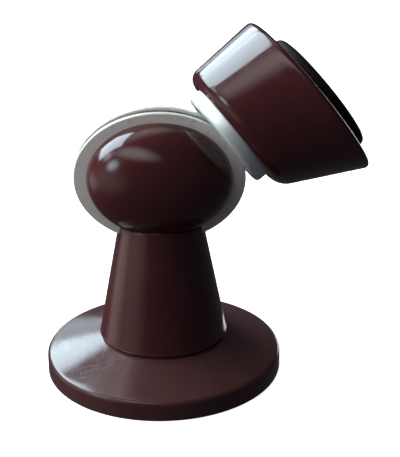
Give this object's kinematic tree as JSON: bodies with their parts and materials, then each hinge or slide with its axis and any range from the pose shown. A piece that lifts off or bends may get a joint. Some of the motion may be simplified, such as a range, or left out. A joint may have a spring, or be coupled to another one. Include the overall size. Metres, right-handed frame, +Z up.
{
  "type": "magnetic door stop",
  "caption": "Brown floor-mounted magnetic door stop: round base, turning tapered post, oval magnet head, and a flared door cup held by its steel keeper disc.",
  "frame": {"origin": "centre of the round base on the floor plane", "axes": "+Z up along the post; the front magnet dome faces -Y; the door cup leans out towards +X"},
  "size_m": [0.0821, 0.0608, 0.0899],
  "materials": {
    "brown_plastic": "polished",
    "pole_steel": "satin",
    "keeper_steel": "polished",
    "hardware_steel": "satin",
    "nylon": "satin",
    "black_plastic": "satin",
    "magnet": "matte",
    "brass": "satin",
    "rubber": "matte"
  },
  "bodies": {
    "base": {"floor_plate": "hardware_steel", "base_flange": "brown_plastic", "lock_grub": "hardware_steel", "pivot_bush": "nylon"},
    "post": {"pivot_bolt": "hardware_steel", "pivot_washer": "hardware_steel", "post_column": "brown_plastic", "post_insert": "brass", "head_screws": "hardware_steel", "pole_plate_front": "pole_steel", "pole_plate_rear": "pole_steel", "magnet": "magnet", "magnet_carrier": "black_plastic", "dome_front": "brown_plastic", "dome_rear": "brown_plastic", "tie_screws": "hardware_steel", "tie_nuts": "hardware_steel"},
    "keeper": {"keeper_disc": "keeper_steel", "keeper_bolt": "hardware_steel", "keeper_nut": "hardware_steel", "stop_washer": "hardware_steel", "return_spring": "hardware_steel"},
    "ball": {"ball_bush": "hardware_steel"},
    "seat": {"ball_seat": "nylon"},
    "cup": {"cup_shell": "brown_plastic", "socket_cap": "black_plastic", "cap_screws": "hardware_steel", "door_plate": "hardware_steel", "door_pad": "rubber", "cup_grub": "hardware_steel"}
  },
  "joints": [
    {"name": "post_swivel", "type": "hinge", "parent": "base", "child": "post", "pos_m": [0, 0, 0.009], "axis": [0, 0, 1], "continuous": true},
    {"name": "keeper_release", "type": "slide", "parent": "post", "child": "keeper", "axis": [0.7766, 0.2374, 0.5835], "range_m": [0, 0.04]},
    {"name": "cup_plunge", "type": "slide", "parent": "keeper", "child": "ball", "axis": [-0.7766, -0.2374, -0.5835], "range_m": [0, 0.0016], "stiffness_N_per_m": 800, "springref_m": -0.002, "deforming": ["return_spring"]},
    {"name": "cup_tilt_a", "type": "hinge", "parent": "ball", "child": "seat", "pos_m": [0.02526, 0.00565, 0.06796], "axis": [0.6299, -0.3048, -0.7143], "range_deg": [-4, 4]},
    {"name": "cup_tilt_b", "type": "hinge", "parent": "seat", "child": "cup", "pos_m": [0.02526, 0.00565, 0.06796], "axis": [0.0082, 0.9224, -0.3862], "range_deg": [-4, 4]}
  ]
}
